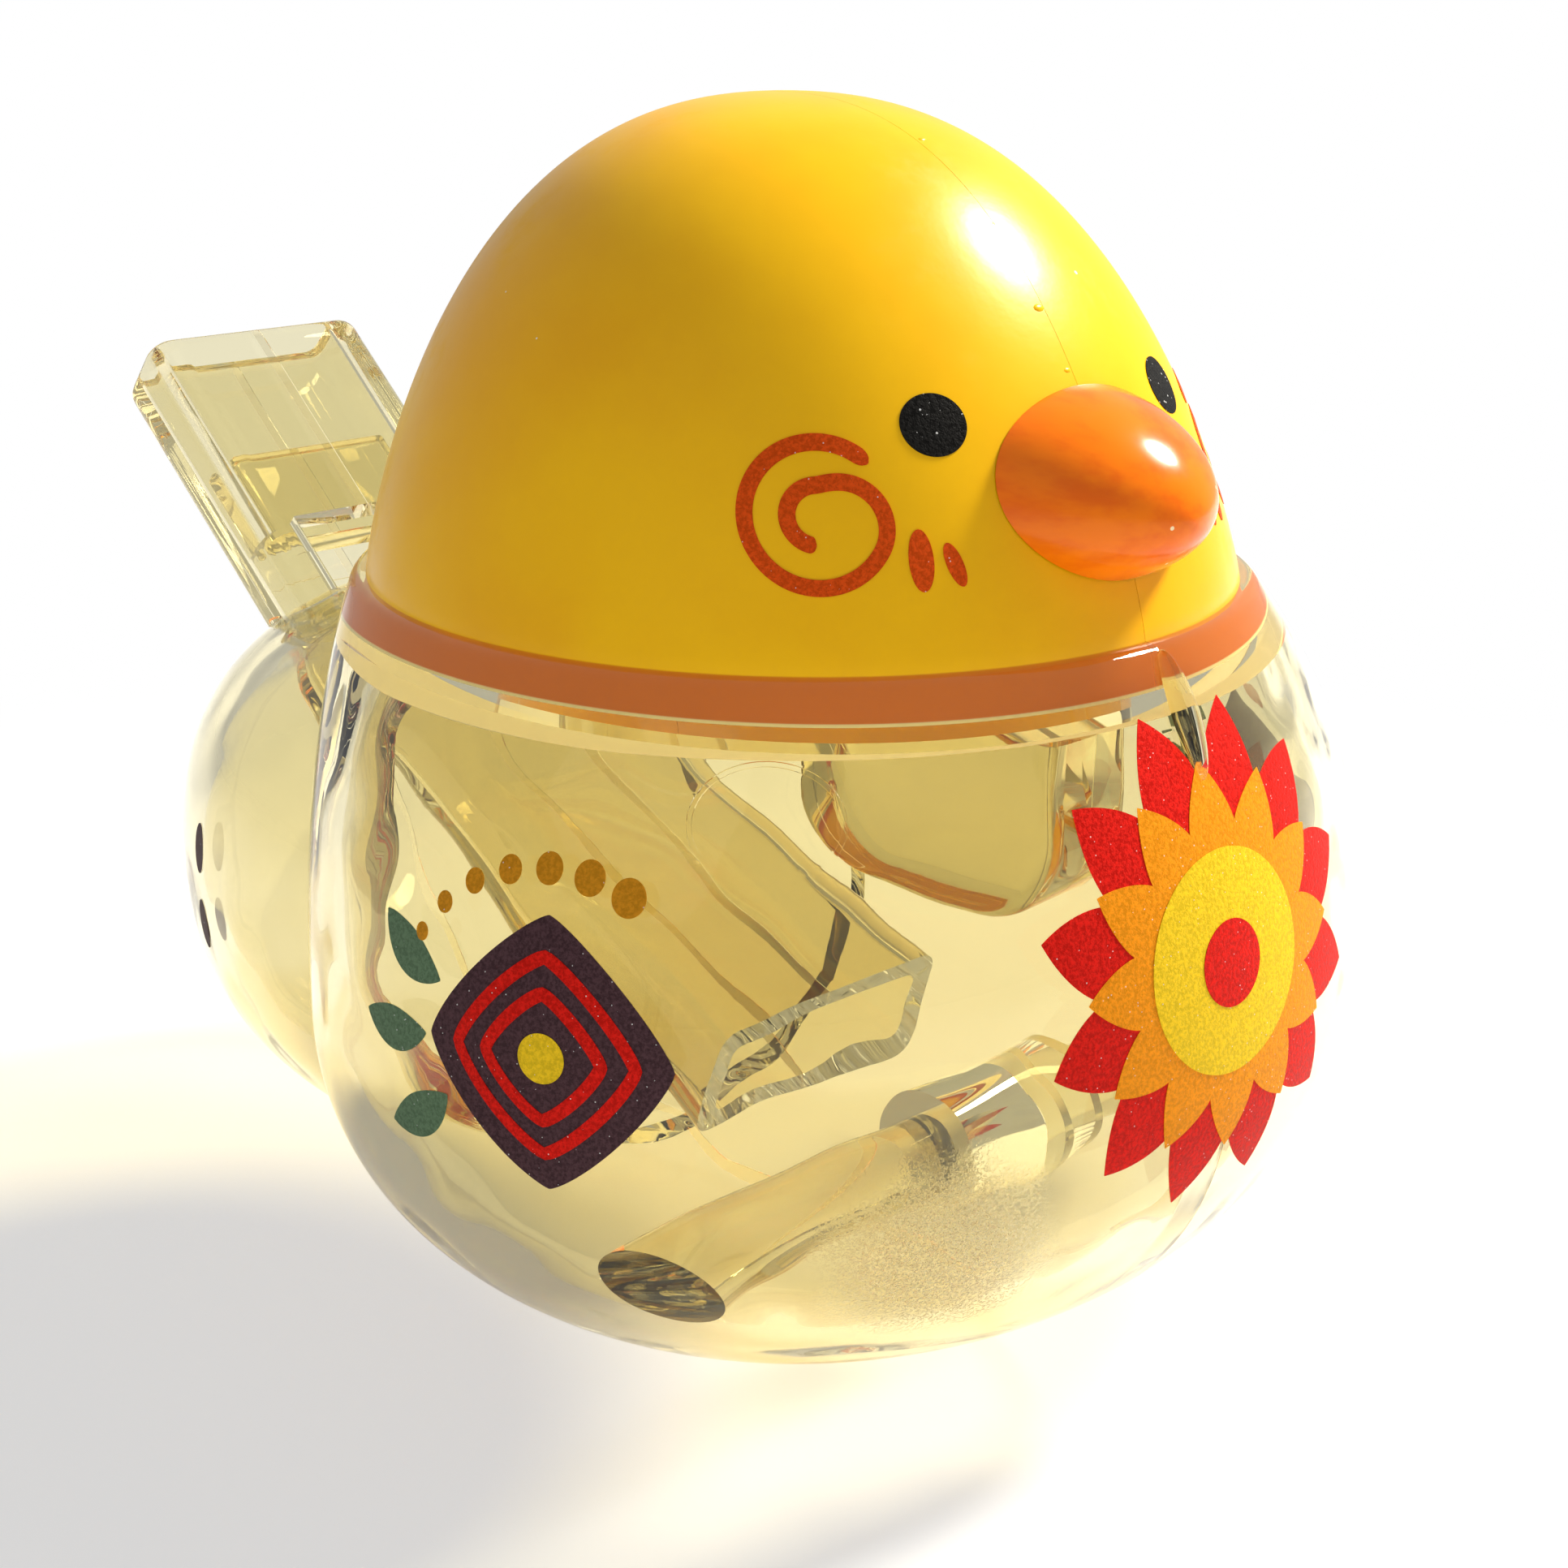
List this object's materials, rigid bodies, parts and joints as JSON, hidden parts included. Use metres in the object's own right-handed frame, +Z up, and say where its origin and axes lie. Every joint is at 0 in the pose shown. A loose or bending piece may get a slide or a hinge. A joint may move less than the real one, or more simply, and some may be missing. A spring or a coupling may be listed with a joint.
{
  "type": "bird whistle",
  "caption": "Bird-shaped water whistle: clear hollow body blown through a raised tail mouthpiece, with a yellow domed head and an orange beak.",
  "frame": {"origin": "centre of the bounding box in plan, on the surface the foot rests on", "axes": "+X the way the beak points, +Y to the bird's left, +Z up"},
  "size_m": [0.0834, 0.06, 0.0626],
  "materials": {
    "clear_body": "clear, faintly yellow, glossy",
    "yellow_head": "glossy",
    "orange_beak": "glossy"
  },
  "bodies": {
    "root": {"body_right": "clear_body", "body_left": "clear_body", "head_right": "yellow_head", "head_left": "yellow_head", "beak": "orange_beak", "fipple_block": "clear_body"}
  },
  "joints": []
}
